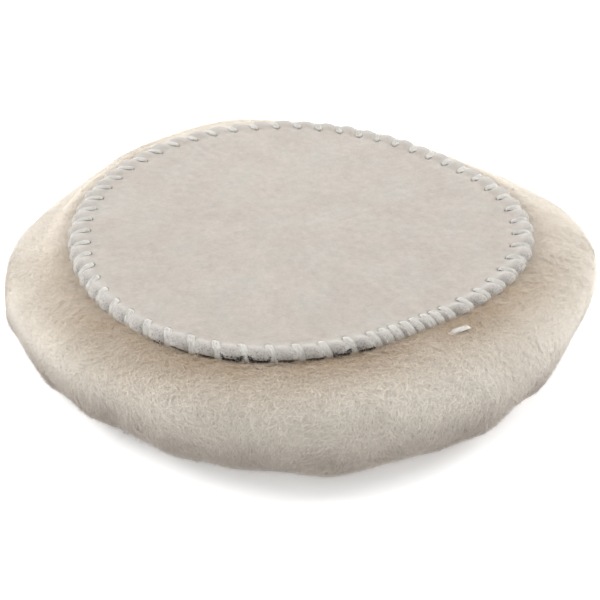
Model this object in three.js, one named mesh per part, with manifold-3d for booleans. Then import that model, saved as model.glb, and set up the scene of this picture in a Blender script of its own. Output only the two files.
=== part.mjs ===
// Lambswool polishing pad for a 150 mm hook-and-loop backing plate.
//
// A disc of brushed loop fabric, a thin foam interlayer and the tanned hide of a lambskin lie
// one under the other, and one flat thread whips their edges together all the way round.
// The wool grows out of the hide and flares out past the sewn rim.
//
// Units are millimetres. The origin is the centre of the loop face, +Z points out of that face
// towards the polisher, and the wool's working face lies at z = -PAD_HEIGHT.

import * as THREE from "three";
import { mergeVertices } from "three/addons/utils/BufferGeometryUtils.js";
import Module from "manifold-3d";

const wasm = await Module();
wasm.setup();

// Driving dimensions.
const PAD_HEIGHT = 32; // loop face to working face
const RIM_RADIUS = 75; // sewn edge of the backing
const WOOL_RADIUS = 98.2; // widest reach of the wool
const FABRIC_THICKNESS = 1.2;
const FOAM_THICKNESS = 2.4;
const HIDE_THICKNESS = 1.4;
const JOINT_GAP = 0.3; // between pieces that touch

// The edge of the fabric rolls down over the foam as a quarter of an ellipse.
const ROLL_WIDTH = 8;
const ROLL_DROP = 2.5;
const FLAT_RADIUS = RIM_RADIUS - ROLL_WIDTH;

// The wool: how wide and how tall its rounded edge is, above and below its widest line.
const WOOL_EDGE_WIDTH = 26;
const WOOL_TOP_Z = -3.3;
const WOOL_WIDEST_Z = -17;
const WORKING_FACE_RADIUS = WOOL_RADIUS - WOOL_EDGE_WIDTH;

// The whip stitch.
const STITCHES = 58; // once round the rim
const LOCK_STITCHES = 3; // sewn a second time, beside the first ones
const LOCK_OFFSET = 0.45; // how far beside them, as a share of one stitch
const SEAM_ANGLE = THREE.MathUtils.degToRad(-68);
const STITCH_ANGLE = (2 * Math.PI) / (STITCHES - LOCK_OFFSET);
const STITCH_LEAN = 2 / RIM_RADIUS; // a stitch's outer end runs 2 mm ahead of its needle hole
const NEEDLE_RADIUS = RIM_RADIUS - 6.4;
const NEEDLE_HOLE = 1.5;
const THREAD_WIDTH = 2;
const THREAD_WIDTH_IN_HOLE = 0.9;
const THREAD_THICKNESS = 0.5;
const TAIL_Z = -2.1; // the cut end lies on the wool's shoulder

// Heights worked out from the stack of layers.
const FOAM_TOP_Z = -FABRIC_THICKNESS - JOINT_GAP;
const FOAM_BOTTOM_Z = FOAM_TOP_Z - FOAM_THICKNESS;
const HIDE_TOP_Z = FOAM_BOTTOM_Z - JOINT_GAP;
const HIDE_BOTTOM_Z = HIDE_TOP_Z - HIDE_THICKNESS;
const THREAD_OFFSET = JOINT_GAP + THREAD_THICKNESS / 2; // from a surface to the thread's middle

// A hand-cut pad isn't truly round. Each outline swells by a few lobes: how many there are
// round the pad, how far they stand out, and where the first one peaks, in degrees.
const RIM_LOBES = [
  { count: 3, height: 2.35, peak: -2.5 },
  { count: 4, height: 0.95, peak: -5 },
];
const WOOL_LOBES = [
  { count: 1, height: 1.8, peak: -25 },
  { count: 2, height: 1.3, peak: -67 },
  { count: 3, height: 0.7, peak: 23 },
  { count: 4, height: 0.8, peak: 16 },
];
// The wool's widest line also wanders up and down. These lobes say how far it sags.
const WOOL_SAG_LOBES = [
  { count: 1, height: 4, peak: 105 },
  { count: 2, height: 3.7, peak: -81 },
  { count: 3, height: 2.4, peak: 43 },
  { count: 4, height: 2, peak: -39 },
];
const SHOULDER_SAG = 0.15; // how much of the sag the shoulder shares
// Its rounded edge is pinched thinner where these are positive and fuller where they are negative.
const SHOULDER_PINCH_LOBES = [
  { count: 1, height: 0.14, peak: 68 },
  { count: 2, height: 0.33, peak: 18 },
  { count: 3, height: 0.18, peak: 48 },
];
const BELLY_PINCH_LOBES = [
  { count: 1, height: 0.46, peak: 14 },
  { count: 2, height: 0.21, peak: 15 },
];
const FULLEST_PINCH = 0.5;

const LAYER_SEGMENTS = 58;
const WOOL_SEGMENTS = 64;

function lobed(lobes, angle) {
  return lobes.reduce((sum, { count, height, peak }) => {
    return sum + height * Math.cos(count * (angle - THREE.MathUtils.degToRad(peak)));
  }, 0);
}

// Where a point of the sewn backing lies, from the radius that it would have on a round pad.
function onBacking(radius, angle, z) {
  const share = Math.min(1, radius / FLAT_RADIUS);
  const real = radius + share * lobed(RIM_LOBES, angle);
  return new THREE.Vector3(real * Math.cos(angle), real * Math.sin(angle), z);
}

// The same for a point of the wool, whose edge is also pinched and sags.
function onWool(radius, angle, z) {
  const upper = z > WOOL_WIDEST_Z;
  const height = upper ? WOOL_TOP_Z - WOOL_WIDEST_Z : -PAD_HEIGHT - WOOL_WIDEST_Z;
  const pinchLobes = upper ? SHOULDER_PINCH_LOBES : BELLY_PINCH_LOBES;
  const pinch = Math.max(FULLEST_PINCH, 1 + lobed(pinchLobes, angle));
  const outward = Math.max(0, radius - WORKING_FACE_RADIUS) / WOOL_EDGE_WIDTH;
  const level = (z - WOOL_WIDEST_Z) / height;
  const pinchedRadius = radius + WOOL_EDGE_WIDTH * (outward ** pinch - outward);
  const pinchedZ = WOOL_WIDEST_Z + height * level ** pinch;
  const share = Math.min(1, radius / WORKING_FACE_RADIUS);
  const real = pinchedRadius + share * lobed(WOOL_LOBES, angle);
  const sag = 1 - (upper ? 1 - SHOULDER_SAG : 1) * level;
  const realZ = pinchedZ - share * sag * lobed(WOOL_SAG_LOBES, angle);
  return new THREE.Vector3(real * Math.cos(angle), real * Math.sin(angle), realZ);
}

// A quarter of an ellipse or, at a higher power, of a squarer round. It runs from directly above
// or below its centre out to the side, and a negative height runs below.
function roundedEdge(centre, width, height, power = 2, steps = 4) {
  return Array.from({ length: steps + 1 }, (_, i) => {
    const turn = (Math.PI / 2) * (1 - i / steps);
    return new THREE.Vector2(
      centre.x + width * Math.cos(turn) ** (2 / power),
      centre.y + height * Math.sin(turn) ** (2 / power),
    );
  });
}

// Turns a profile, listed from its top down, round +Z, and places each of its points.
function turned(profile, segments, placed) {
  const geometry = new THREE.LatheGeometry(profile.toReversed(), segments);
  geometry.rotateX(Math.PI / 2);
  const points = geometry.getAttribute("position");
  for (let i = 0; i < points.count; i++) {
    const { x, y, z } = new THREE.Vector3().fromBufferAttribute(points, i);
    points.setXYZ(i, ...placed(Math.hypot(x, y), Math.atan2(y, x), z));
  }
  return solid(geometry);
}

function solid(geometry) {
  geometry.deleteAttribute("normal");
  geometry.deleteAttribute("uv");
  const merged = mergeVertices(geometry, 1e-3);
  return new wasm.Manifold(
    new wasm.Mesh({
      numProp: 3,
      vertProperties: merged.getAttribute("position").array,
      triVerts: new Uint32Array(merged.index.array),
    }),
  );
}

function piece(name, body, look) {
  const { vertProperties, triVerts } = body.getMesh();
  const geometry = new THREE.BufferGeometry();
  geometry.setAttribute("position", new THREE.BufferAttribute(vertProperties, 3));
  geometry.setIndex(new THREE.BufferAttribute(triVerts, 1));
  geometry.computeVertexNormals();
  const mesh = new THREE.Mesh(geometry, new THREE.MeshStandardMaterial({ metalness: 0, ...look }));
  mesh.name = name;
  return mesh;
}

const stitchStarts = Array.from({ length: STITCHES + LOCK_STITCHES }, (_, i) => {
  return SEAM_ANGLE + i * STITCH_ANGLE;
});

// The holes that the needle leaves through fabric, foam and hide, one for each stitch.
function needleHoles() {
  const depth = 2 * PAD_HEIGHT;
  const holes = stitchStarts.map((angle) => {
    const hole = new THREE.BoxGeometry(NEEDLE_HOLE, NEEDLE_HOLE, depth);
    hole.rotateZ(angle);
    hole.translate(...onBacking(NEEDLE_RADIUS, angle, 0));
    return solid(hole);
  });
  return wasm.Manifold.union(holes);
}

// The brushed face that the backing plate's hooks grip, with its edge rolled down.
function loopFabric() {
  const roll = new THREE.Vector2(FLAT_RADIUS, -ROLL_DROP);
  const inner = roundedEdge(roll, ROLL_WIDTH - FABRIC_THICKNESS, ROLL_DROP - FABRIC_THICKNESS);
  return turned(
    [
      new THREE.Vector2(0, 0),
      ...roundedEdge(roll, ROLL_WIDTH, ROLL_DROP),
      ...inner.reverse(),
      new THREE.Vector2(0, -FABRIC_THICKNESS),
    ],
    LAYER_SEGMENTS,
    onBacking,
  );
}

// The foam fills the rolled edge, and its cut edge shows as a dark line below the fabric's.
function foamInterlayer() {
  const roll = new THREE.Vector2(FLAT_RADIUS, -ROLL_DROP);
  const inset = FABRIC_THICKNESS + JOINT_GAP;
  const lipTop = -ROLL_DROP - JOINT_GAP;
  const edge = RIM_RADIUS - 0.4;
  return turned(
    [
      new THREE.Vector2(0, FOAM_TOP_Z),
      ...roundedEdge(roll, ROLL_WIDTH - inset, ROLL_DROP - inset),
      new THREE.Vector2(RIM_RADIUS - inset, lipTop),
      new THREE.Vector2(edge, lipTop),
      new THREE.Vector2(edge, FOAM_BOTTOM_Z),
      new THREE.Vector2(0, FOAM_BOTTOM_Z),
    ],
    LAYER_SEGMENTS,
    onBacking,
  );
}

function hide() {
  const edge = RIM_RADIUS - 0.7;
  return turned(
    [
      new THREE.Vector2(0, HIDE_TOP_Z),
      new THREE.Vector2(edge, HIDE_TOP_Z),
      new THREE.Vector2(edge, HIDE_BOTTOM_Z),
      new THREE.Vector2(0, HIDE_BOTTOM_Z),
    ],
    LAYER_SEGMENTS,
    onBacking,
  );
}

// The room that the wool leaves for the backing: deeper under the edge, where the thread runs.
function backingSeat() {
  const inner = NEEDLE_RADIUS - NEEDLE_HOLE;
  const outer = RIM_RADIUS + 2 * JOINT_GAP + THREAD_THICKNESS + JOINT_GAP;
  const floor = HIDE_BOTTOM_Z - JOINT_GAP;
  const channelFloor = HIDE_BOTTOM_Z - 2 * THREAD_OFFSET;
  return turned(
    [
      new THREE.Vector2(0, 1),
      new THREE.Vector2(outer, 1),
      new THREE.Vector2(outer, channelFloor),
      new THREE.Vector2(inner, channelFloor),
      new THREE.Vector2(inner, floor),
      new THREE.Vector2(0, floor),
    ],
    LAYER_SEGMENTS,
    onBacking,
  );
}

// The pile: a bun with a rounded edge and a flat working face.
function woolPile() {
  const edgeCentre = new THREE.Vector2(WORKING_FACE_RADIUS, WOOL_WIDEST_Z);
  const topHeight = WOOL_TOP_Z - WOOL_WIDEST_Z;
  const bottomHeight = -PAD_HEIGHT - WOOL_WIDEST_Z;
  const shoulder = roundedEdge(edgeCentre, WOOL_EDGE_WIDTH, topHeight, 2, 6);
  const belly = roundedEdge(edgeCentre, WOOL_EDGE_WIDTH, bottomHeight, 2.5, 6);
  const bun = turned(
    [
      new THREE.Vector2(0, WOOL_TOP_Z),
      ...shoulder,
      ...belly.reverse().slice(1),
      new THREE.Vector2(0, -PAD_HEIGHT),
    ],
    WOOL_SEGMENTS,
    onWool,
  );
  return bun.subtract(backingSeat());
}

// One stitch: up through its hole, over the rolled edge, down past the cut edges and in under
// the hide towards the next hole.
function stitchSteps(start) {
  const step = (radius, z, ahead, width = THREAD_WIDTH) => {
    return { place: onBacking(radius, start + ahead, z), width };
  };
  const over = [75, 50, 25, 0].map((degrees) => {
    const turn = THREE.MathUtils.degToRad(degrees);
    const radius = FLAT_RADIUS + (ROLL_WIDTH + THREAD_OFFSET) * Math.cos(turn);
    const z = -ROLL_DROP + (ROLL_DROP + THREAD_OFFSET) * Math.sin(turn);
    return step(radius, z, STITCH_LEAN * (1 - degrees / 90));
  });
  const underZ = HIDE_BOTTOM_Z - THREAD_OFFSET;
  return [
    step(NEEDLE_RADIUS, HIDE_BOTTOM_Z, 0, THREAD_WIDTH_IN_HOLE),
    step(NEEDLE_RADIUS, 0, 0, THREAD_WIDTH_IN_HOLE),
    ...over,
    step(RIM_RADIUS + THREAD_OFFSET, HIDE_BOTTOM_Z, STITCH_LEAN),
    step(RIM_RADIUS - THREAD_OFFSET, underZ, STITCH_LEAN),
    step(NEEDLE_RADIUS + THREAD_THICKNESS, underZ, STITCH_ANGLE),
  ];
}

// The last stitch isn't drawn under: its cut end lies out over the wool beside the rim.
function tailSteps(start) {
  const stitch = stitchSteps(start).slice(0, 6);
  const end = [0.9, 2.6, 4.3].map((outwards, i) => {
    const place = onBacking(RIM_RADIUS + outwards, start + STITCH_LEAN * (1.6 + i), TAIL_Z);
    return { place, width: THREAD_WIDTH };
  });
  return [...stitch, ...end];
}

// A flat strip along the steps, its width always across the pull of the thread and its
// thickness towards the rim that it wraps.
function threadStrip(steps) {
  const corners = [];
  const faces = [];
  steps.forEach(({ place, width }, i) => {
    const before = steps[Math.max(i - 1, 0)].place;
    const after = steps[Math.min(i + 1, steps.length - 1)].place;
    const along = new THREE.Vector3().subVectors(after, before).normalize();
    const round = new THREE.Vector3(-place.y, place.x, 0).normalize();
    const inwards = new THREE.Vector3().crossVectors(round, along).normalize();
    const across = new THREE.Vector3().crossVectors(along, inwards);
    for (const [a, b] of [[-1, -1], [-1, 1], [1, 1], [1, -1]]) {
      const corner = place.clone();
      corner.addScaledVector(across, (a * width) / 2);
      corner.addScaledVector(inwards, (b * THREAD_THICKNESS) / 2);
      corners.push(...corner);
    }
    if (i === 0) return;
    const last = 4 * (i - 1);
    for (let side = 0; side < 4; side++) {
      const next = (side + 1) % 4;
      faces.push(last + side, last + next, last + 4 + next);
      faces.push(last + side, last + 4 + next, last + 4 + side);
    }
  });
  const end = 4 * (steps.length - 1);
  faces.push(0, 2, 1, 0, 3, 2);
  faces.push(end, end + 1, end + 2, end, end + 2, end + 3);
  const geometry = new THREE.BufferGeometry();
  geometry.setAttribute("position", new THREE.Float32BufferAttribute(corners, 3));
  geometry.setIndex(faces);
  return solid(geometry);
}

function whipStitchThread() {
  const last = stitchStarts.length - 1;
  const steps = stitchStarts.slice(0, last).flatMap(stitchSteps);
  return threadStrip([...steps, ...tailSteps(stitchStarts[last])]);
}

const holes = needleHoles();
const pad = new THREE.Group();
pad.add(
  piece("loop_fabric", loopFabric().subtract(holes), { color: 0xd0c8bf, roughness: 0.95 }),
  piece("foam_interlayer", foamInterlayer().subtract(holes), { color: 0x2a2928, roughness: 0.9 }),
  piece("hide", hide().subtract(holes), { color: 0xcbb797, roughness: 0.75 }),
  piece("wool_pile", woolPile(), { color: 0xcdc1ad, roughness: 1 }),
  piece("whip_stitch_thread", whipStitchThread(), { color: 0xeeebe3, roughness: 0.6 }),
);

export default pad;
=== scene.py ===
"""Lambswool polishing pad lying wool side down, with its brushed loop-fabric back up.

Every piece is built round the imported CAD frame: the rim's and the wool's outlines are read off
the CAD solids, and the heights come from their boxes. The origin is the centre of the loop face.
"""
import math
import bpy
import numpy as np
from mathutils import Matrix, Vector
from mathutils.bvhtree import BVHTree


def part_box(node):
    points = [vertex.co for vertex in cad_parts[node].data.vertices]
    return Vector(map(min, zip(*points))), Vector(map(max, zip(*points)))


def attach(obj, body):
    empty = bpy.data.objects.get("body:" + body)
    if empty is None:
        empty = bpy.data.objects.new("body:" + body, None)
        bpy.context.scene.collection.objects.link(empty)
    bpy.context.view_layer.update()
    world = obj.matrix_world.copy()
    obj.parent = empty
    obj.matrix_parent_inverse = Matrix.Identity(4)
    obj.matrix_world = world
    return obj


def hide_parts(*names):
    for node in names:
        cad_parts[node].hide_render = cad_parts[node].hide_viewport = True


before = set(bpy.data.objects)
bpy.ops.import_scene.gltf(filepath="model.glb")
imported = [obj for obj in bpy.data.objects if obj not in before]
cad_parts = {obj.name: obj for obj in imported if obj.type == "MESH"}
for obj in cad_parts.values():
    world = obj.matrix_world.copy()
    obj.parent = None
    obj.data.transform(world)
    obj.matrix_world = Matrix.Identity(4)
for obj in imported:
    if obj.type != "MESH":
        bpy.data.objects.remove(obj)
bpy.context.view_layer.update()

MM = 0.001
TURN = 2 * math.pi

# The sewn back. What is inset is measured inwards from the rim.
RIM = 75 * MM  # the rim's mean radius
ROLL_DROP = -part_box("loop_fabric")[0].z
CREST = 0.5 * MM  # how far the rolled hem stands above the face
FRONT_CREST = 0  # along the front it doesn't
CREST_INSET = 3.1 * MM  # the hem's highest line
HEM = 9 * MM  # how far in the seam shapes the fabric
BULGE_OUT = 0.5 * MM  # how far the fabric swells between stitches, and is drawn in under them
BULGE_UP = 0.45 * MM
PIT_RADIUS = 0.45 * MM  # of the dimple at a needle hole
PIT_DEPTH = 0.9 * MM
FOAM_TOP, FOAM_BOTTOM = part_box("foam_interlayer")[1].z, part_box("foam_interlayer")[0].z
HIDE_TOP, HIDE_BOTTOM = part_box("hide")[1].z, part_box("hide")[0].z
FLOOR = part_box("wool_pile")[0].z
FABRIC_THICKNESS = 1.1 * MM

# The whip stitch.
STITCHES = 58  # once round the rim
LOCK_STITCHES = 3  # sewn a second time, beside the first ones
LOCK_OFFSET = 0.45  # how far beside them, as a share of one stitch
SEAM_ANGLE = math.radians(-68)
STITCH_ANGLE = TURN / (STITCHES - LOCK_OFFSET)
STITCH_LEAN = 2.3 * MM / RIM  # how far a stitch's outer end runs ahead of its needle hole
NEEDLE_INSET = 6.6 * MM  # the needle holes' distance from the rim
FRONT_INSET = 4.7 * MM  # the same along the front, where the seam runs closer
THREAD_WIDTH = 2.4 * MM
THREAD_THICKNESS = 0.32 * MM
FILAMENTS = 12

# The foam's cut edge, which shows along the front.
BARE_ANGLE = math.radians(-92)  # the middle of the stretch where it shows
CRUMBS = 9000  # tried round the whole rim; most of them fall where no foam shows

# The wool.
FIBRES = 470_000
FIBRE_LENGTH = 3.8 * MM
FIBRE_WIDTH = 0.08 * MM
FIBRE_HEIGHT = 0.25 * MM  # how far a fibre's tip stands above the pile's surface
FIBRE_DEPTH = 0.6 * MM  # how far its root lies below it
FIBRE_CURL = 0.45 * MM
LOCK_SIZE = 1.8 * MM  # fibres are drawn together into locks about this wide
LOCK_DRAW = 0.05
FIBRE_TONES = 0.12  # how much one fibre's brightness differs from the next
STRAND_SHARE = 0.06  # the share of fibres that are longer and paler
DARK_SHARE = 4e-5  # the share that are dark
CALM = 0.35  # how much of its roughness the pile keeps away from the front
SECTORS = 14

STITCH_STARTS = SEAM_ANGLE + STITCH_ANGLE * np.arange(STITCHES + LOCK_STITCHES)


# ---------------------------------------------------------------- numbers and fields

def waves(points, size, seed, count=14):
    """A smooth random field, about -1 to 1, of lumps that are size across, and its slope."""
    rng = np.random.default_rng(seed)
    ways = rng.normal(size=(count, 3))
    ways *= math.pi / size / np.linalg.norm(ways, axis=1, keepdims=True)
    ways *= rng.uniform(0.7, 1.3, (count, 1))
    phase = points @ ways.T + rng.uniform(0, TURN, count)
    scale = math.sqrt(2 / count) * 0.6
    return scale * np.cos(phase).sum(-1), -scale * np.sin(phase) @ ways


def smoothstep(low, high, x):
    """0 at low to 1 at high, and flat beyond them; low may be the larger."""
    t = np.clip((x - low) / (high - low), 0, 1)
    return t * t * (3 - 2 * t)


def tree_of(node):
    """A CAD node's faces, to cast rays at."""
    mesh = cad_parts[node].data
    return BVHTree.FromPolygons(
        [v.co for v in mesh.vertices], [tuple(p.vertices) for p in mesh.polygons]
    )


def outline(node, z, count=720):
    """How far out a CAD node reaches at height z, as a function of the angle."""
    tree = tree_of(node)
    angles = np.arange(count) * TURN / count
    far = 0.3
    radii = []
    for angle in angles:
        out = Vector((math.cos(angle), math.sin(angle), 0))
        hit = tree.ray_cast(out * far + Vector((0, 0, z)), -out)[0]
        radii.append(math.hypot(hit.x, hit.y))
    return lambda angle: np.interp(np.mod(angle, TURN), angles, radii, period=TURN)


rim_radius = outline("loop_fabric", -ROLL_DROP + 0.05 * MM)


def at(radius, angle, z):
    """Points at these cylindrical places; numbers and arrays may be mixed."""
    return np.stack(np.broadcast_arrays(radius * np.cos(angle), radius * np.sin(angle), z), -1)


# ---------------------------------------------------------------- meshes

def new_piece(name, mesh, material, node=None):
    """A visible piece, which stands in for a CAD node if one is given."""
    piece = bpy.data.objects.new(name, mesh)
    bpy.context.scene.collection.objects.link(piece)
    mesh.materials.append(material)
    mesh.shade_smooth()
    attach(piece, "root")
    if node:
        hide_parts(node)
    return piece


def mesh_of(name, points, faces, **attributes):
    """A mesh from an array of points and a list of arrays of faces, with point attributes."""
    mesh = bpy.data.meshes.new(name)
    points = np.asarray(points, np.float32).reshape(-1, 3)
    corners = np.concatenate([f.ravel() for f in faces]).astype(np.int32)
    sizes = np.concatenate([np.full(len(f), f.shape[1], np.int32) for f in faces])
    mesh.vertices.add(len(points))
    mesh.vertices.foreach_set("co", points.ravel())
    mesh.loops.add(len(corners))
    mesh.loops.foreach_set("vertex_index", corners)
    mesh.polygons.add(len(sizes))
    mesh.polygons.foreach_set("loop_start", np.concatenate([[0], np.cumsum(sizes)[:-1]]))
    mesh.polygons.foreach_set("loop_total", sizes)
    for key, values in attributes.items():
        layer = mesh.attributes.new(key, "FLOAT", "POINT")
        layer.data.foreach_set("value", np.asarray(values, np.float32).ravel())
    mesh.update(calc_edges=True)
    mesh.validate()
    return mesh


def ringed(name, rings, top, bottom, **attributes):
    """A closed mesh from rings, listed from the axis on top to the axis underneath."""
    count, around = rings.shape[:2]
    index = np.arange(count * around).reshape(count, around)
    after = np.roll(index, -1, 1)
    walls = np.stack([index[:-1], index[1:], after[1:], after[:-1]], -1).reshape(-1, 4)
    points = np.concatenate([rings.reshape(-1, 3), [top], [bottom]])
    apex = count * around
    upper = np.stack([np.full(around, apex), index[0], after[0]], -1)
    lower = np.stack([np.full(around, apex + 1), after[-1], index[-1]], -1)
    padded = {k: np.append(v.ravel(), [v.ravel()[0], v.ravel()[-1]]) for k, v in attributes.items()}
    return mesh_of(name, points, [walls, upper, lower], **padded)


# ---------------------------------------------------------------- materials

def new_material(name, roughness, **shader_values):
    """A material, its nodes and links, and its shader with these values set."""
    material = bpy.data.materials.new(name)
    material.use_nodes = True
    nodes, links = material.node_tree.nodes, material.node_tree.links
    shader = nodes["Principled BSDF"]
    shader.inputs["Roughness"].default_value = roughness
    for key, value in shader_values.items():
        shader.inputs[key.replace("_", " ")].default_value = value
    return material, nodes, links, shader


def noise(nodes, size, detail=3.0, roughness=0.55, seed=0.0):
    """A noise texture in object space whose lumps are about size across."""
    node = nodes.new("ShaderNodeTexNoise")
    node.noise_dimensions = "4D"
    node.inputs["Scale"].default_value = 1 / size
    node.inputs["Detail"].default_value = detail
    node.inputs["Roughness"].default_value = roughness
    node.inputs["W"].default_value = seed
    place = nodes.new("ShaderNodeTexCoord")
    node.id_data.links.new(place.outputs["Object"], node.inputs["Vector"])
    return node.outputs["Fac"]


def attribute(nodes, name):
    """The values that a mesh carries at its points under this name."""
    node = nodes.new("ShaderNodeAttribute")
    node.attribute_name = name
    return node.outputs["Fac"]


def ranged(nodes, links, value, low, high, to_low=0.0, to_high=1.0):
    """Stretches low to high into to_low to to_high, and holds it level beyond them."""
    node = nodes.new("ShaderNodeMapRange")
    links.new(value, node.inputs["Value"])
    node.inputs["From Min"].default_value = low
    node.inputs["From Max"].default_value = high
    node.inputs["To Min"].default_value = to_low
    node.inputs["To Max"].default_value = to_high
    return node.outputs["Result"]


def mixed(nodes, links, share, a, b, blend="MIX"):
    """A mix of two colours; the share and the colours may be plain values or sockets."""
    node = nodes.new("ShaderNodeMix")
    node.data_type = "RGBA"
    node.blend_type = blend
    inputs = [socket for socket in node.inputs if socket.enabled]
    for socket, value in zip(inputs, (share, a, b)):
        if isinstance(value, (int, float)):
            socket.default_value = value
        elif isinstance(value, tuple):
            socket.default_value = (*value, 1)
        else:
            links.new(value, socket)
    return next(socket for socket in node.outputs if socket.enabled)


def grey(nodes, links, value):
    """A grey as bright as the value."""
    node = nodes.new("ShaderNodeCombineColor")
    for socket in node.inputs:
        links.new(value, socket)
    return node.outputs["Color"]


def product(nodes, links, a, b):
    node = nodes.new("ShaderNodeMath")
    node.operation = "MULTIPLY"
    links.new(a, node.inputs[0])
    links.new(b, node.inputs[1])
    return node.outputs["Value"]


def bumped(nodes, links, shader, height, depth, strength=1.0):
    """Makes the shader look as uneven as the height says, depth being its full range."""
    node = nodes.new("ShaderNodeBump")
    node.inputs["Distance"].default_value = depth
    node.inputs["Strength"].default_value = strength
    links.new(height, node.inputs["Height"])
    links.new(node.outputs["Normal"], shader.inputs["Normal"])


def fabric_material():
    """Brushed loop fabric: a mottled nap, greyer on the rolled rim, speckled at its cut edge, with
    painted shade in the needle holes.
    """
    material, nodes, links, shader = new_material(
        "brushed_loop_fabric", 0.95, Sheen_Weight=0.25, Sheen_Roughness=0.6
    )
    patches = ranged(nodes, links, noise(nodes, 26 * MM, 3, seed=2.0), 0.38, 0.62)
    colour = mixed(nodes, links, patches, (0.39, 0.341, 0.298), (0.414, 0.372, 0.328))
    cool = ranged(nodes, links, noise(nodes, 14 * MM, 2, seed=5.0), 0.45, 0.65, 0.0, 0.8)
    colour = mixed(nodes, links, cool, colour, (0.395, 0.368, 0.327))
    mottle = ranged(nodes, links, noise(nodes, 2.6 * MM, 4, 0.75, seed=9.0), 0.3, 0.7, 0.86, 1.1)
    colour = mixed(nodes, links, 1.0, colour, grey(nodes, links, mottle), "MULTIPLY")
    rim = attribute(nodes, "rim")
    worn = ranged(nodes, links, rim, 0.0, 0.5, 0.0, 0.7)
    colour = mixed(nodes, links, worn, colour, (0.47, 0.447, 0.412))
    grains = ranged(nodes, links, noise(nodes, 0.55 * MM, 2, 0.8, seed=1.0), 0.5, 0.62)
    pepper = product(nodes, links, grains, ranged(nodes, links, rim, 0.5, 1.0, 0.0, 0.7))
    colour = mixed(nodes, links, pepper, colour, (0.16, 0.155, 0.15))
    # Painted shade: the needle holes are darkened as if shade fell in them.
    colour = mixed(nodes, links, attribute(nodes, "hole"), colour, (0.12, 0.105, 0.095))
    links.new(colour, shader.inputs["Base Color"])
    nap = noise(nodes, 0.7 * MM, 5, 0.75, seed=3.0)
    bumped(nodes, links, shader, nap, 0.35 * MM, 0.7)
    return material


def wool_colour(nodes, links):
    """Cream, warmer by the seam (partly painted shade under the rim) and greyer low down (painted
    shade).
    """
    cream = (0.835, 0.79, 0.71)
    # The seam tint: partly the wool's own peach, partly painted shade under the rim.
    warm = (0.5, 0.385, 0.265)
    # The colour of the painted shade on the lower wool.
    low = (0.355, 0.299, 0.253)
    colour = mixed(nodes, links, attribute(nodes, "warm"), cream, warm)
    colour = mixed(nodes, links, attribute(nodes, "low"), colour, low)
    patch = ranged(nodes, links, noise(nodes, 17 * MM, 3, seed=4.0), 0.42, 0.62, 0.0, 0.35)
    return mixed(nodes, links, patch, colour, (0.72, 0.66, 0.585))


def fibre_material():
    """One fibre's colour: the wool's where it grows, times the fibre's tone, which holds its own
    brightness and painted shade at its root.
    """
    material, nodes, links, shader = new_material(
        "lambswool_fibre", 0.7, Sheen_Weight=0.3, Sheen_Roughness=0.5
    )
    tone = grey(nodes, links, attribute(nodes, "tone"))
    colour = mixed(nodes, links, 1.0, wool_colour(nodes, links), tone, "MULTIPLY")
    links.new(colour, shader.inputs["Base Color"])
    return material


def wool_base_material():
    """What shows between the fibres: the wool's colour, a little darker as painted shade."""
    material, nodes, links, shader = new_material("lambswool_pile", 1.0)
    # Painted shade between the fibres.
    shaded_between_fibres = mixed(nodes, links, 1.0, wool_colour(nodes, links), (0.92, 0.9, 0.87), "MULTIPLY")
    links.new(shaded_between_fibres, shader.inputs["Base Color"])
    bumped(nodes, links, shader, noise(nodes, 0.5 * MM, 4, 0.8, seed=6.0), 0.4 * MM)
    return material


def foam_material():
    """Black foam, greyed by lint."""
    material, nodes, links, shader = new_material("black_foam", 0.9)
    dust = ranged(nodes, links, noise(nodes, 0.8 * MM, 3, seed=8.0), 0.42, 0.7)
    colour = mixed(nodes, links, dust, (0.018, 0.018, 0.018), (0.13, 0.125, 0.12))
    links.new(colour, shader.inputs["Base Color"])
    bumped(nodes, links, shader, noise(nodes, 0.35 * MM, 3, 0.8), 0.3 * MM)
    return material


def hide_material():
    """Undyed tanned skin with a fine grain."""
    material, nodes, links, shader = new_material("tanned_hide", 0.7)
    grain = noise(nodes, 1.2 * MM, 5, 0.6, seed=7.0)
    pale = ranged(nodes, links, grain, 0.35, 0.65)
    colour = mixed(nodes, links, pale, (0.44, 0.34, 0.235), (0.58, 0.47, 0.34))
    links.new(colour, shader.inputs["Base Color"])
    bumped(nodes, links, shader, grain, 0.2 * MM)
    return material


def thread_material():
    """Off-white, streaked thread, with painted shade greying it round the back."""
    material, nodes, links, shader = new_material(
        "white_thread", 0.5, Sheen_Weight=0.2, Sheen_Roughness=0.4
    )
    streaks = ranged(nodes, links, noise(nodes, 0.9 * MM, 3, seed=11.0), 0.35, 0.65)
    colour = mixed(nodes, links, streaks, (0.62, 0.6, 0.56), (0.73, 0.71, 0.67))
    tone = grey(nodes, links, attribute(nodes, "tone"))
    colour = mixed(nodes, links, 1.0, colour, tone, "MULTIPLY")
    links.new(colour, shader.inputs["Base Color"])
    bumped(nodes, links, shader, noise(nodes, 0.25 * MM, 2), 0.05 * MM)
    return material


def floor_material():
    """White, and bright enough by itself to leave only a faint shadow."""
    material, _, _, shader = new_material("pale_floor", 0.9)
    shader.inputs["Base Color"].default_value = (0.9, 0.9, 0.9, 1)
    shader.inputs["Emission Color"].default_value = (1, 1, 1, 1)
    shader.inputs["Emission Strength"].default_value = 0.35
    return material


# ---------------------------------------------------------------- the sewn back

def front(angle):
    """1 along the front, where the seam is tight, to 0 round the rest of the rim."""
    return smoothstep(0.1, 0.7, -np.sin(angle))


def needle_inset(angle):
    """How far inside the rim the needle holes lie."""
    return NEEDLE_INSET + (FRONT_INSET - NEEDLE_INSET) * front(angle)


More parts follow.
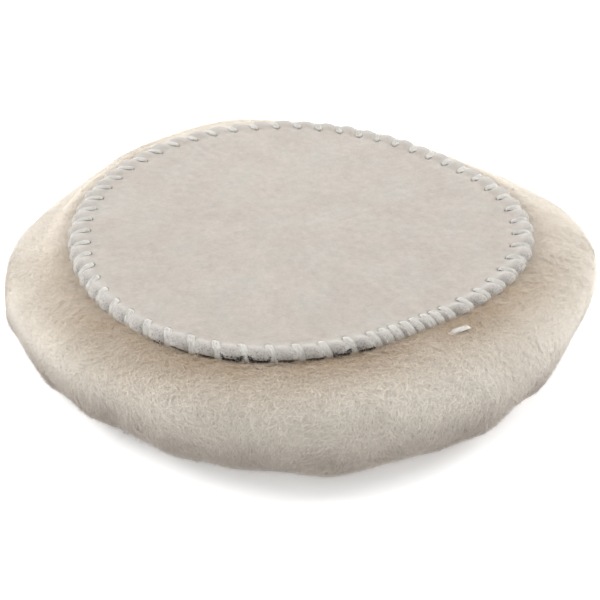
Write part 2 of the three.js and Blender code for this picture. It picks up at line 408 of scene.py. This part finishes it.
def stitch_distance(radius, angle):
    """How far each point is from the middle of the nearest stitch, along the rim."""
    ahead = STITCH_LEAN * stitch_reach(radius, angle)
    gaps = angle[..., None] - ahead[..., None] - STITCH_STARTS
    gaps = (gaps + math.pi) % TURN - math.pi
    return radius * np.abs(gaps).min(-1)


def stitch_reach(radius, angle):
    """0 at the needle holes' ring to 1 at the rim."""
    return np.clip(1 - (rim_radius(angle) - radius) / needle_inset(angle), 0, 1)


def roll_height(inset, angle):
    """The fabric's height where it is inset from the rim: flat, up over the hem, and down."""
    across = np.clip(1 - inset / CREST_INSET, 0, 1)
    foot = needle_inset(angle) + 0.6 * MM  # where the hem starts to rise
    crest = CREST + (FRONT_CREST - CREST) * front(angle)
    rise = crest * smoothstep(0, 1, (foot - inset) / (foot - CREST_INSET))
    return rise - (ROLL_DROP + crest) * (1 - np.sqrt(1 - across**2))


def pull(radius, angle):
    """How strongly the thread pulls the fabric in: 1 under a stitch to 0 between two."""
    reach = 0.8 * THREAD_WIDTH
    return np.exp(-((stitch_distance(radius, angle) / reach) ** 2))


def fabric_top(inset, angle):
    """The brushed face, quilted by the stitches, inset from the rim at each angle."""
    radius = rim_radius(angle) - inset
    reach = stitch_reach(radius, angle)
    quilting = 1 - 2 * pull(radius, angle)
    radius = radius + smoothstep(0.3, 1, reach) * BULGE_OUT * quilting
    z = roll_height(inset, angle) + smoothstep(0, 0.6, reach) * BULGE_UP * quilting
    places = at(radius, angle, z)
    soft, _ = waves(places, 9 * MM, 21)
    lumps, _ = waves(places, 1.6 * MM, 22, 20)
    z = z + soft * 0.12 * MM + lumps * 0.05 * MM
    return at(radius, angle, z)


def fabric_insets(angle):
    """Rings of points across the top, from its middle outwards and down over the edge."""
    across = rim_radius(angle) - HEM
    face = rim_radius(angle) - across * np.linspace(0.02, 1, 34)[:, None]
    rise = np.linspace(HEM, CREST_INSET, 24)[1:, None] + 0 * angle
    over = CREST_INSET * (1 - np.sin(np.linspace(0, math.pi / 2, 14)))[1:, None] + 0 * angle
    return np.concatenate([face, rise, over])


def lining(top, insets):
    """The fabric's underside: one thickness below its face and inside its edge."""
    radius = np.hypot(top[..., 0], top[..., 1])
    shrink = smoothstep(HEM, 0, insets) * FABRIC_THICKNESS / radius
    under = top.copy()
    under[..., :2] *= 1 - shrink[..., None]
    under[..., 2] -= FABRIC_THICKNESS * smoothstep(0, 5 * MM, insets)
    return under


def fabric():
    """The loop fabric as a hollow shell, rolled down all round and pitted by the needle."""
    around = STITCHES * 16
    angle = np.arange(around) * TURN / around
    insets = fabric_insets(angle)
    top = fabric_top(insets, np.broadcast_to(angle, insets.shape))
    pits = needle_pits(top)
    top[..., 2] -= PIT_DEPTH * pits
    under_insets = insets[::-2]
    under = lining(top[::-2], under_insets)
    rim = smoothstep(7 * MM, 0, np.concatenate([insets, under_insets]))
    # The hole attribute carries where the needle holes' painted shade goes.
    hole = np.concatenate([pits, 0 * under_insets])
    middle = (0, 0, top[0, :, 2].mean())
    under_middle = (0, 0, under[-1, :, 2].mean())
    rings = np.concatenate([top, under])
    mesh = ringed("loop_fabric", rings, middle, under_middle, rim=rim, hole=hole)
    piece = new_piece("brushed_loop_fabric", mesh, fabric_material(), "loop_fabric")


def needle_pits(places):
    """1 in the middle of each needle hole, and 0 away from it."""
    ring = rim_radius(STITCH_STARTS) - needle_inset(STITCH_STARTS)
    centres = at(ring, STITCH_STARTS, 0 * ring)[:, :2]
    gaps = np.linalg.norm(places[..., None, :2] - centres, axis=-1).min(-1)
    return np.exp(-((gaps / PIT_RADIUS) ** 2))


def foam():
    """A flat layer whose cut edge is ragged and shows only along part of the rim."""
    around = STITCHES * 12
    angle = np.arange(around) * TURN / around
    ragged, _ = waves(at(RIM, angle, 0 * angle), 1.1 * MM, 31, 24)
    edge = rim_radius(angle) + (1.0 * bare(angle) - 1.2 + 0.35 * ragged) * MM
    edge = edge - 0.7 * MM * pull(rim_radius(angle), angle)
    top, low = FOAM_TOP - 0.1 * MM, FOAM_BOTTOM
    lip = -ROLL_DROP - 0.1 * MM
    profile = [
        (0.3 * edge, top), (edge - 9 * MM, top), (edge - 5 * MM, (top + lip) / 2),
        (edge - 2.5 * MM, lip + 0.2 * MM), (edge - 0.3 * MM, lip), (edge, lip - 0.3 * MM),
        (edge, low + 0.3 * MM), (edge - 0.4 * MM, low), (0.3 * edge, low),
    ]
    rings = np.stack([at(radius, angle, np.full(around, z)) for radius, z in profile])
    mesh = ringed("foam", rings, (0, 0, top), (0, 0, low))
    piece = new_piece("black_foam_interlayer", mesh, foam_material(), "foam_interlayer")


def crumbs():
    """Bits of the foam's torn edge, caught on the rim's lower edge where the foam shows."""
    rng = np.random.default_rng(32)
    angle = rng.uniform(0, TURN, CRUMBS)
    clump, _ = waves(at(RIM, angle, 0), 9 * MM, 33, 20)
    kept = bare(angle) * (0.35 + clump) > rng.uniform(0, 0.9, CRUMBS)
    angle = angle[kept]
    count = len(angle)
    climb = rng.exponential(0.45 * MM, count) * (1 + 1.2 * np.maximum(clump[kept], 0))
    climb = np.minimum(climb, 1.3 * MM)
    z = -ROLL_DROP - 0.3 * MM + climb
    under_stitch = np.exp(-((stitch_distance(rim_radius(angle), angle) / (1.5 * MM)) ** 2))
    radius = rim_radius(angle) + (0.55 - 1.1 * under_stitch) * MM
    radius = radius + rng.uniform(-0.25, 0.05, count) * MM - climb**2 * 0.15 / MM
    points = at(radius, angle, z)[:, None] + jagged(count, rng)
    ring = (0, 1, 3, 4)
    beside = (1, 3, 4, 0)
    upper = [(a, b, 2) for a, b in zip(ring, beside)]
    lower = [(b, a, 5) for a, b in zip(ring, beside)]
    faces = (6 * np.arange(count)[:, None, None] + np.array(upper + lower)).reshape(-1, 3)
    mesh = mesh_of("crumbs", points, [faces])
    new_piece("foam_crumbs", mesh, foam_material())


def jagged(count, rng):
    """The six corners of each of count uneven octahedra."""
    corners = np.concatenate([np.eye(3), -np.eye(3)])
    uneven = rng.uniform(0.4, 1.3, (count, 6, 1))
    return corners * uneven * rng.uniform(0.08, 0.34, (count, 1, 1)) * MM


def hide():
    """The skin, whose cut edge runs unevenly just inside the rim."""
    around = STITCHES * 6
    angle = np.arange(around) * TURN / around
    uneven, _ = waves(at(RIM, angle, 0 * angle), 5 * MM, 41)
    edge = rim_radius(angle) - 1.2 * MM + uneven * 0.3 * MM
    profile = [
        (0.4 * edge, HIDE_TOP), (edge - 0.4 * MM, HIDE_TOP), (edge, HIDE_TOP - 0.4 * MM),
        (edge, HIDE_BOTTOM + 0.4 * MM), (edge - 0.4 * MM, HIDE_BOTTOM), (0.4 * edge, HIDE_BOTTOM),
    ]
    rings = np.stack([at(radius, angle, np.full(around, z)) for radius, z in profile])
    mesh = ringed("hide", rings, (0, 0, HIDE_TOP), (0, 0, HIDE_BOTTOM))
    new_piece("tanned_hide", mesh, hide_material(), "hide")


# ---------------------------------------------------------------- the whip stitch

def stitch_path(start):
    """One stitch as rows of place, outward normal and share of its width: up its hole, over the
    rim and under. Each place is given by its inset from the rim and how far ahead it is."""
    rows = []

    def step(inset, z, ahead, width, facing):
        angle = start + ahead
        radius = rim_radius(angle) - inset
        outward = at(math.cos(math.radians(facing)), angle, math.sin(math.radians(facing)))
        rows.append((*at(radius, angle, z), *outward, width))

    def over(inset, ahead, width, facing):
        """A step that lies on the fabric."""
        angle = start + ahead
        place = fabric_top(np.array(inset), np.array(angle))
        real_inset = float(rim_radius(angle)) - math.hypot(place[0], place[1])
        turn = math.radians(facing)
        out, up = THREAD_THICKNESS * math.cos(turn), THREAD_THICKNESS * math.sin(turn)
        step(real_inset - out, float(place[2]) + up, ahead, width, facing)

    narrow = 0.45
    hole = float(needle_inset(start))
    next_hole = float(needle_inset(start + STITCH_ANGLE))
    onwards = STITCH_ANGLE - STITCH_LEAN
    below = HIDE_BOTTOM - 0.4 * MM
    step(hole, HIDE_BOTTOM, 0, narrow, 180)
    step(hole, -PIT_DEPTH, 0, narrow, 180)
    over(hole - 0.35 * MM, 0.04 * STITCH_LEAN, 0.6, 125)
    for share in (0.2, 0.4, 0.6, 0.8, 0.93):
        over(hole * (1 - share), share * STITCH_LEAN, 1, 90 - 55 * share**2)
    over(0, STITCH_LEAN, 1, 10)
    step(0.45 * MM, FOAM_BOTTOM, STITCH_LEAN, 1, 0)
    step(0.9 * MM, HIDE_BOTTOM - 0.2 * MM, STITCH_LEAN, 1, -60)
    step(2.0 * MM, below, STITCH_LEAN + 0.3 * onwards, 1, -90)
    step(next_hole - 0.8 * MM, below, 0.96 * STITCH_ANGLE, 0.7, -90)
    return rows


def tail_path(start):
    """The last stitch, whose cut end lies along the rim on the wool."""
    rows = stitch_path(start)[:9]
    for outwards, z, leans, facing in (
        (1.2, -3.0, 1.0, 40),
        (3.4, -3.2, 0.4, 60),
        (5.0, -2.5, 0.2, 80),
        (5.6, -2.2, 0.9, 90),
        (5.9, -2.25, 1.9, 90),
        (6.0, -2.4, 2.8, 90),
    ):
        angle = start + leans * STITCH_LEAN
        turn = math.radians(facing)
        outward = at(math.cos(turn), angle, math.sin(turn))
        place = at(rim_radius(angle) + outwards * MM, angle, z * MM)
        rows.append((*place, *outward, 0.9))
    return rows


def rounded(rows, per_step):
    """A smooth curve (Catmull-Rom) through the rows, with per_step points for each."""
    ends = np.concatenate([rows[:1], rows, rows[-1:]])
    a, b, c, d = (ends[i:len(ends) - 3 + i, None] for i in range(4))
    t = (np.arange(per_step) / per_step)[None, :, None]
    curve = b + 0.5 * t * (c - a + t * (2 * a - 5 * b + 4 * c - d + t * (3 * (b - c) + d - a)))
    return np.concatenate([curve.reshape(-1, rows.shape[1]), rows[-1:]])


def tube(middle, across, up, thick, first):
    """A closed round tube along a line. Its points are numbered from first."""
    sides = 5
    steps = len(middle)
    turn = np.arange(sides) * TURN / sides
    round_it = np.cos(turn)[:, None, None] * across + np.sin(turn)[:, None, None] * up
    skin = middle[None] + thick * round_it
    index = first + np.arange(sides * steps).reshape(sides, steps)
    after = np.roll(index, -1, 0)
    walls = np.stack([index[:, :-1], after[:, :-1], after[:, 1:], index[:, 1:]], -1)
    start, end = first + steps * sides, first + steps * sides + 1
    caps = np.concatenate([
        np.stack([np.full(sides, start), after[:, 0], index[:, 0]], -1),
        np.stack([np.full(sides, end), index[:, -1], after[:, -1]], -1),
    ])
    points = np.concatenate([skin.reshape(-1, 3), middle[:1], middle[-1:]])
    return points, walls.reshape(-1, 4), caps


def thread():
    """A flat bundle of filaments along the whole seam."""
    rows = [row for start in STITCH_STARTS[:-1] for row in stitch_path(start)]
    path = rounded(np.array(rows + tail_path(STITCH_STARTS[-1])), 2)
    places, outward, width = path[:, :3], path[:, 3:6], path[:, 6]
    along = np.gradient(places, axis=0)
    along /= np.linalg.norm(along, axis=1, keepdims=True)
    across = np.cross(along, outward)
    across /= np.linalg.norm(across, axis=1, keepdims=True)
    up = np.cross(across, along)
    travel = np.cumsum(np.linalg.norm(np.diff(places, axis=0, prepend=places[:1]), axis=1))
    rng = np.random.default_rng(51)
    points, walls, caps = [], [], []
    first = 0
    for filament in range(FILAMENTS):
        spot = 2 * filament / (FILAMENTS - 1) - 1
        pace, phase = rng.uniform(0.6, 1.4), rng.uniform(0, TURN)
        wander = 0.07 * MM * np.sin(travel / (7 * MM) * TURN * pace + phase)
        layer = 0.03 * MM * (-1) ** filament - 0.1 * MM * spot**2
        thick = 0.5 * THREAD_THICKNESS * rng.uniform(0.7, 0.85)
        beside = spot * 0.5 * (THREAD_WIDTH - 2 * thick) * width + wander
        middle = places + across * beside[:, None] + up * layer
        parts = tube(middle, across, up, thick, first)
        first += len(parts[0])
        for collected, part in zip((points, walls, caps), parts):
            collected.append(part)
    points = np.concatenate(points)
    # Painted shade: the same thread is greyed round the back and sides and left as it is along the
    # front.
    painted_shade_round_the_back = 0.85
    unshaded_at_front = front(np.arctan2(points[:, 1], points[:, 0]))
    tone = painted_shade_round_the_back + (1 - painted_shade_round_the_back) * unshaded_at_front
    mesh = mesh_of("thread", points, [np.concatenate(walls), np.concatenate(caps)], tone=tone)
    new_piece(
        "whip_stitch_thread_filaments", mesh, thread_material(), "whip_stitch_thread"
    )


# ---------------------------------------------------------------- the wool

def wool_surface():
    """The outer surface of the pile as rows of points, from beside the rim to below it."""
    around, down = 720, 84
    tree = tree_of("wool_pile")
    angle = np.arange(around) * TURN / around
    core = rim_radius(angle) + 3 * MM  # rays are cast from this ring out to the surface
    middle = 0.5 * FLOOR
    reach = np.zeros((down, around))
    slopes = np.radians(np.linspace(90, -90, down))
    for i, slope in enumerate(slopes):
        ways = at(math.cos(slope), angle, math.sin(slope))
        for j, start in enumerate(at(core, angle, middle + 0 * angle)):
            reach[i, j] = tree.ray_cast(Vector(start), Vector(ways[j]))[3]
    reach = softened(reach)
    radius = core + reach * np.cos(slopes)[:, None]
    z = middle + reach * np.sin(slopes)[:, None]
    under_rim = core + np.linspace(-4.5, -0.7, 5)[:, None] * MM
    radius = np.concatenate([under_rim, radius])
    z = np.concatenate([z[:1] + 0 * under_rim, z])
    return nestled(at(radius, angle + 0 * radius, z))


def softened(values):
    """Smooths the CAD solid's facets away, round the pad and down its profile."""
    for _ in range(60):
        values = 0.5 * values + 0.25 * (np.roll(values, 1, 1) + np.roll(values, -1, 1))
    for _ in range(6):
        values[1:-1] = 0.5 * values[1:-1] + 0.25 * (values[2:] + values[:-2])
    return values


def bare(angle):
    """How far the foam's cut edge shows at each angle, from 0 to 1."""
    return smoothstep(0.8, 0.95, np.cos(angle - BARE_ANGLE))


def nestled(surface):
    """Swells the pile up against the rim's edge, leaving a slit where the foam shows. The rows
    under the pad that are as near to the rim are lifted too, so a groove runs round there."""
    angle = np.arctan2(surface[..., 1], surface[..., 0])
    beyond = np.hypot(surface[..., 0], surface[..., 1]) - rim_radius(angle)
    meets = -ROLL_DROP + (0.5 - 0.9 * bare(angle)) * MM
    share = smoothstep(11 * MM, 0.5 * MM, beyond)
    surface[..., 2] += share * (meets - surface[..., 2])
    for _ in range(10):
        surface[3:-1] = 0.5 * surface[3:-1] + 0.25 * (surface[4:] + surface[2:-2])
    return surface


def surface_normals(surface):
    """The outward normals of rows of points, and the tangents down the rows and along them."""
    round_it = np.roll(surface, -1, 1) - np.roll(surface, 1, 1)
    down = np.gradient(surface, axis=0)
    normal = np.cross(down, round_it)
    return normal / np.linalg.norm(normal, axis=-1, keepdims=True), down, round_it


def lumpy(surface):
    """Gives the pile its soft lumps, which stay off the rim and the floor."""
    normal, _, _ = surface_normals(surface)
    large, _ = waves(surface, 18 * MM, 61)
    small, _ = waves(surface, 6 * MM, 62)
    tufts, _ = waves(surface, 9 * MM, 63)
    z = surface[..., 2]
    angle = np.arctan2(surface[..., 1], surface[..., 0])
    beyond = np.hypot(surface[..., 0], surface[..., 1]) - rim_radius(angle)
    free = smoothstep(0.5 * MM, 9 * MM, beyond) * smoothstep(FLOOR, FLOOR + 4 * MM, z)
    low = smoothstep(-15 * MM, -26 * MM, z)
    swell = 0.6 * large + 0.12 * small + 0.8 * tufts * low
    return surface + normal * (free * swell * MM)[..., None]


def wool_tints(places):
    """How warm and how low each point of the wool is, from 0 to 1. The warm tint is partly the
    wool's own colour and partly painted shade under the rim; the low one is painted shade. The
    wool is warmest beside the seam at the front."""
    angle = np.arctan2(places[..., 1], places[..., 0])
    towards_front = -np.sin(angle)
    beyond = np.hypot(places[..., 0], places[..., 1]) - rim_radius(angle)
    high = smoothstep(-22 * MM, -7 * MM, places[..., 2])
    share = 0.3 + 0.7 * smoothstep(-0.1, 0.7, towards_front)
    # Partly the wool's warmer colour by the seam and partly painted shade under the rim.
    warm = smoothstep(24 * MM, 0, beyond) * high * share
    # Painted shade: the wool darkens towards the floor, a little less at the front.
    low = smoothstep(-8 * MM, -25 * MM, places[..., 2])
    low = low * (1 - 0.25 * smoothstep(0.75, 1, towards_front))
    return warm, low


def wool_base(surface):
    """The closed body of the pile under the loose fibres, with the groove round its underside."""
    normal, _, _ = surface_normals(surface)
    skin = surface - normal * FIBRE_DEPTH
    angle = np.arange(surface.shape[1]) * TURN / surface.shape[1]
    rim = rim_radius(angle)
    seat = HIDE_BOTTOM - 0.9 * MM
    inner = np.stack([at(rim * share, angle, seat + 0 * rim) for share in (0.4, 0.7, 0.97)])
    flat = FLOOR + 0.2 * MM
    under = np.stack([at(rim * share, angle, flat + 0 * rim) for share in (0.9, 0.7, 0.5, 0.3)])
    skin[..., 2] = np.maximum(skin[..., 2], flat)
    rings = np.concatenate([inner, skin, under])
    warm, low = wool_tints(rings)
    mesh = ringed("wool_base", rings, (0, 0, seat), (0, 0, flat), warm=warm, low=low)
    piece = new_piece("wool_pile_base", mesh, wool_base_material(), "wool_pile")


def scattered(surface, count, rng):
    """Random points spread evenly over the surface, with their normals and two tangents."""
    normal, down, round_it = surface_normals(surface)
    cells = np.linalg.norm(np.cross(down, round_it), axis=-1)
    shares = np.cumsum(cells[:-1].ravel())
    picked = np.searchsorted(shares, rng.uniform(0, shares[-1], count))
    row, column = np.divmod(picked, surface.shape[1])
    beside = (column + 1) % surface.shape[1]
    s, t = rng.uniform(size=(2, count, 1))

    def between(values):
        upper = values[row, column] * (1 - t) + values[row, beside] * t
        lower = values[row + 1, column] * (1 - t) + values[row + 1, beside] * t
        return upper * (1 - s) + lower * s

    places, normals, downs = between(surface), between(normal), between(down)
    normals /= np.linalg.norm(normals, axis=1, keepdims=True)
    downs /= np.linalg.norm(downs, axis=1, keepdims=True)
    return places, normals, downs, np.cross(normals, downs)


def bottom_surface(surface):
    """The flat working face, as rows of points inwards from below the surface's last row."""
    shares = np.linspace(1, 0.02, 30)[:, None, None]
    bottom = surface[-1] * np.array([1, 1, 0]) * shares
    bottom[..., 2] = FLOOR + 0.4 * MM
    return bottom


def looseness(places):
    """How rough the pile is at each place: 1 at the front down to CALM round the back."""
    towards_front = -places[:, 1:2] / np.hypot(places[:, :1], places[:, 1:2])
    return CALM + (1 - CALM) * smoothstep(0.5, 1, towards_front)


def drawn_together(places, normals):
    """How far, and which way, the tip of each fibre is drawn towards its lock."""
    _, draw = waves(places, LOCK_SIZE, 74, 20)
    draw *= LOCK_DRAW * LOCK_SIZE**2
    return draw - normals * (draw * normals).sum(1, keepdims=True)


def fibre_lines(places, normals, lay, strands, loose, rng):
    """Four points along each fibre, from its buried root to its tip."""
    column = (FIBRES, 1)  # one value for each fibre
    length = FIBRE_LENGTH * rng.uniform(0.6, 1.2, column) * np.where(strands, 1.6, 1)
    curl = rng.normal(0, FIBRE_CURL, (FIBRES, 3))
    unevenness = rng.normal(0, 0.6, column)
    stray = rng.uniform(size=column) > 0.96
    height = loose * FIBRE_HEIGHT * (1 + unevenness + 3 * stray)
    rise = (FIBRE_DEPTH + height) * rng.uniform(1, 1.35, column)
    t = np.linspace(0, 1, 4)[:, None, None]
    line = places + lay * length * (t - 0.6) + normals * (height - rise * (1 - t) ** 1.6)
    line = line + drawn_together(places, normals) * t**2 + curl * (t * (1 - t) * 2)
    line[..., 2] = np.maximum(line[..., 2], FLOOR + 0.02 * MM)
    return line


def ribbons(line, normals, rng):
    """Seven points for each fibre: the two edges of a flat ribbon, and the tip they run to."""
    column = (FIBRES, 1)
    flat = np.cross(np.gradient(line, axis=0), normals)
    flat /= np.linalg.norm(flat, axis=-1, keepdims=True)
    twist = rng.normal(0, 0.2, column)
    flat = flat * np.cos(twist) + normals * np.sin(twist)
    taper = np.array([1, 1, 0.75, 0])[:, None, None]
    width = 0.5 * FIBRE_WIDTH * taper * rng.uniform(0.7, 1.2, column)
    left, right = line + flat * width, line - flat * width
    edges = np.stack([left[:3], right[:3]], 1).reshape(6, FIBRES, 3)
    return np.concatenate([edges, line[3:]]).transpose(1, 0, 2)


def fibre_tones(strands, loose, rng):
    """How bright each of a fibre's seven points is: darkest at its root, which is painted shade
    deep in the pile.
    """
    column = (FIBRES, 1)
    # Painted shade: the points nearer the root are darker, as if shaded by the pile.
    depth = 1 - loose * np.array([0.12, 0.12, 0.04, 0.04, 0, 0, -0.02])
    pale = loose * (strands * 0.08 + rng.normal(0, FIBRE_TONES, column))
    dark = rng.uniform(size=column) < DARK_SHARE
    return depth * (1 + pale) * np.where(dark, 0.2, 1)


def wool_fibres(surface):
    """Loose fibres all over the pile, combed outwards with whorls and drawn into small locks."""
    rng = np.random.default_rng(71)
    whole = np.concatenate([surface, bottom_surface(surface)[1:]])
    places, normals, downs, sides = scattered(whole, FIBRES, rng)
    strands = rng.uniform(size=(FIBRES, 1)) < STRAND_SHARE
    whorl = 0.9 * waves(places, 20 * MM, 72)[0] + 0.5 * waves(places, 6 * MM, 73)[0]
    whorl += rng.normal(0, 1, FIBRES) * np.where(strands[:, 0], 0.35, 1)
    lay = downs * np.cos(whorl)[:, None] + sides * np.sin(whorl)[:, None]
    loose = looseness(places)
    line = fibre_lines(places, normals, lay, strands, loose, rng)
    points = ribbons(line, normals, rng)
    tone = fibre_tones(strands, loose, rng)
    warm, low = wool_tints(points)
    sector = (np.arctan2(places[:, 1], places[:, 0]) / TURN % 1 * SECTORS).astype(int)
    material = fibre_material()
    for k in range(SECTORS):
        mine = sector == k
        first = 7 * np.arange(mine.sum())[:, None]
        quads = np.concatenate([first + [0, 1, 3, 2], first + [2, 3, 5, 4]])
        tips = first + [4, 5, 6]
        tints = {"tone": tone[mine], "warm": warm[mine], "low": low[mine]}
        mesh = mesh_of(f"fibres_{k}", points[mine], [quads, tips], **tints)
        new_piece(f"wool_fibres_{k + 1}", mesh, material)


# ---------------------------------------------------------------- floor, light and camera

def floor():
    """A flat pale floor whose edges are out of view."""
    wide = 6.0
    corners = [(-wide, -wide), (wide, -wide), (wide, wide), (-wide, wide)]
    mesh = bpy.data.meshes.new("floor")
    mesh.from_pydata([(x, y, FLOOR) for x, y in corners], [], [(0, 1, 2, 3)])
    mesh.materials.append(floor_material())
    piece = bpy.data.objects.new("floor", mesh)
    bpy.context.scene.collection.objects.link(piece)


def area_light(name, place, size, power):
    """A round lamp that faces the pad."""
    light = bpy.data.lights.new(name, "AREA")
    light.shape = "DISK"
    light.size = size
    light.energy = power
    lamp = bpy.data.objects.new(name, light)
    lamp.location = place
    lamp.rotation_euler = (-Vector(place)).to_track_quat("-Z", "Y").to_euler()
    bpy.context.scene.collection.objects.link(lamp)


def lights():
    """An even white surround, with a soft lamp above and one on either side."""
    world = bpy.data.worlds.new("soft_studio")
    world.use_nodes = True
    sky = world.node_tree.nodes["Background"]
    sky.inputs["Color"].default_value = (1, 1, 1, 1)
    sky.inputs["Strength"].default_value = 0.635
    bpy.context.scene.world = world
    area_light("overhead", (-0.1, 0.3, 1.1), 0.9, 2.4)
    area_light("left", (-1.0, 0.32, 0.5), 0.6, 11.5)
    area_light("right", (1.0, 0.4, 0.5), 0.6, 11.5)


def camera():
    """The photograph's view: from 0.6 m, 30 degrees above the pad, which lies high in the frame."""
    lens = bpy.data.cameras.new("camera")
    lens.sensor_width = 36
    lens.lens = 112.5
    lens.clip_start = 0.01
    eye = bpy.data.objects.new("camera", lens)
    bpy.context.scene.collection.objects.link(eye)
    elevation, distance = math.radians(29.87), 0.615
    eye.location = (0, -distance * math.cos(elevation), distance * math.sin(elevation))
    pan = Matrix.Rotation(math.radians(-0.196), 3, "Z")
    pitch = Matrix.Rotation(math.pi / 2 - elevation + math.radians(-2.29), 3, "X")
    roll = Matrix.Rotation(math.radians(-0.3), 3, "Z")
    eye.rotation_euler = (pan @ pitch @ roll).to_euler()
    bpy.context.scene.camera = eye


bpy.context.scene.view_settings.view_transform = "Standard"
camera()
lights()
floor()
fabric()
foam()
crumbs()
hide()
thread()
outer = lumpy(wool_surface())
wool_base(outer)
wool_fibres(outer)
